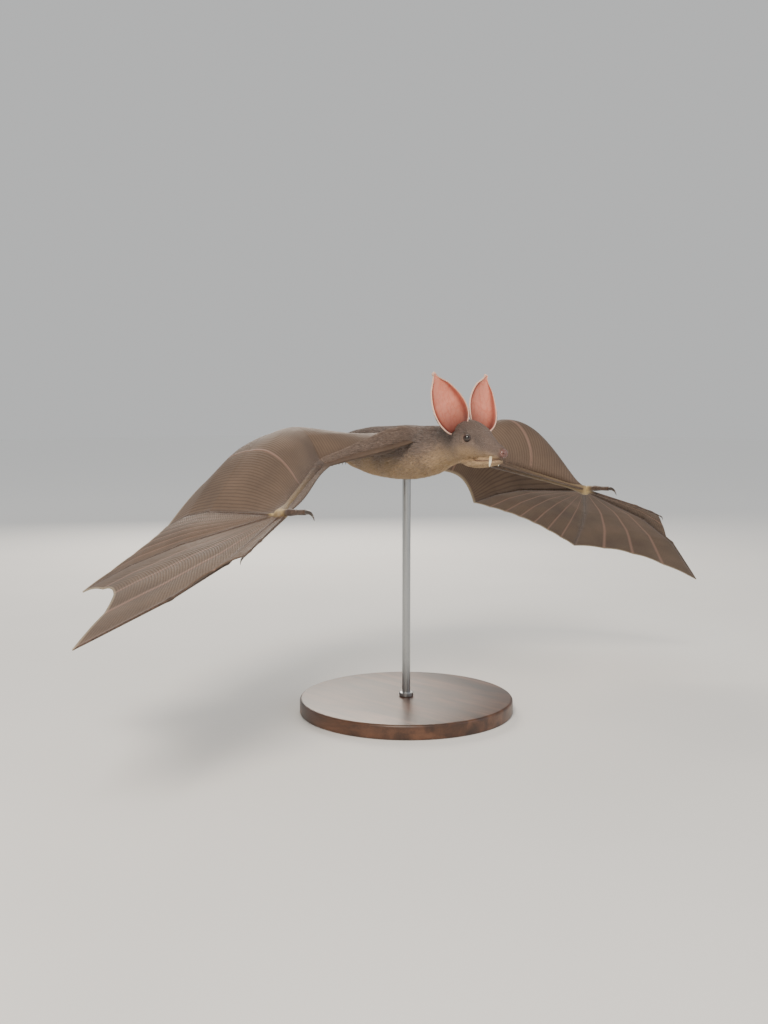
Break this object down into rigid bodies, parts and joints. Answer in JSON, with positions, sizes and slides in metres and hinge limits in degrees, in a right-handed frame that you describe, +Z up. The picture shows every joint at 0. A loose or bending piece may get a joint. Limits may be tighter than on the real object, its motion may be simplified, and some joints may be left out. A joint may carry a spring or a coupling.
{
  "type": "flying fox bat on a display stand",
  "caption": "Life-size flying fox bat in gliding flight, wings spread and drooped, held by one rod on a round display stand.",
  "frame": {"origin": "middle of the underside of the stand's round base", "axes": "+Z up, -Y the way the bat looks, +X towards the tip of its left wing"},
  "size_m": [0.8141, 0.2791, 0.3302],
  "materials": {
    "coat": "short dense olive-brown fur, paler on the belly",
    "wing_skin": "thin brown translucent wing skin with faint ribs and veins",
    "ear_skin": "thin pink-brown ear skin, pale at the rim",
    "nose_skin": "moist rose-brown nose skin",
    "eye": "glossy dark brown eye",
    "claw": "dark horn",
    "tooth": "ivory enamel",
    "stand_wood": "dark stained, satin varnished wood",
    "stand_steel": "brushed steel rod"
  },
  "bodies": {
    "root": {"canine_L": "tooth", "canine_R": "tooth", "digit2_L": "wing_skin", "digit2_R": "wing_skin", "digit2_claw_L": "claw", "digit2_claw_R": "claw", "digit3_L": "wing_skin", "digit3_R": "wing_skin", "digit4_L": "wing_skin", "digit4_R": "wing_skin", "digit5_L": "wing_skin", "digit5_R": "wing_skin", "ear_L": "ear_skin", "ear_R": "ear_skin", "eye_L": "eye", "eye_R": "eye", "foot_L": "wing_skin", "foot_R": "wing_skin", "forearm_L": "wing_skin", "forearm_R": "wing_skin", "head": "coat", "lower_jaw": "coat", "neck": "coat", "nose": "nose_skin", "plagiopatagium_L": "wing_skin", "plagiopatagium_R": "wing_skin", "propatagium_L": "wing_skin", "propatagium_R": "wing_skin", "shank_L": "wing_skin", "shank_R": "wing_skin", "stand_base": "stand_wood", "stand_rod": "stand_steel", "thigh_L": "coat", "thigh_R": "coat", "thumb_L": "wing_skin", "thumb_R": "wing_skin", "thumb_claw_L": "claw", "thumb_claw_R": "claw", "trunk": "coat", "upper_arm_L": "coat", "upper_arm_R": "coat", "uropatagium_L": "wing_skin", "uropatagium_R": "wing_skin", "wing_panel_2_3_L": "wing_skin", "wing_panel_2_3_R": "wing_skin", "wing_panel_3_4_L": "wing_skin", "wing_panel_3_4_R": "wing_skin", "wing_panel_4_5_L": "wing_skin", "wing_panel_4_5_R": "wing_skin"}
  },
  "joints": []
}
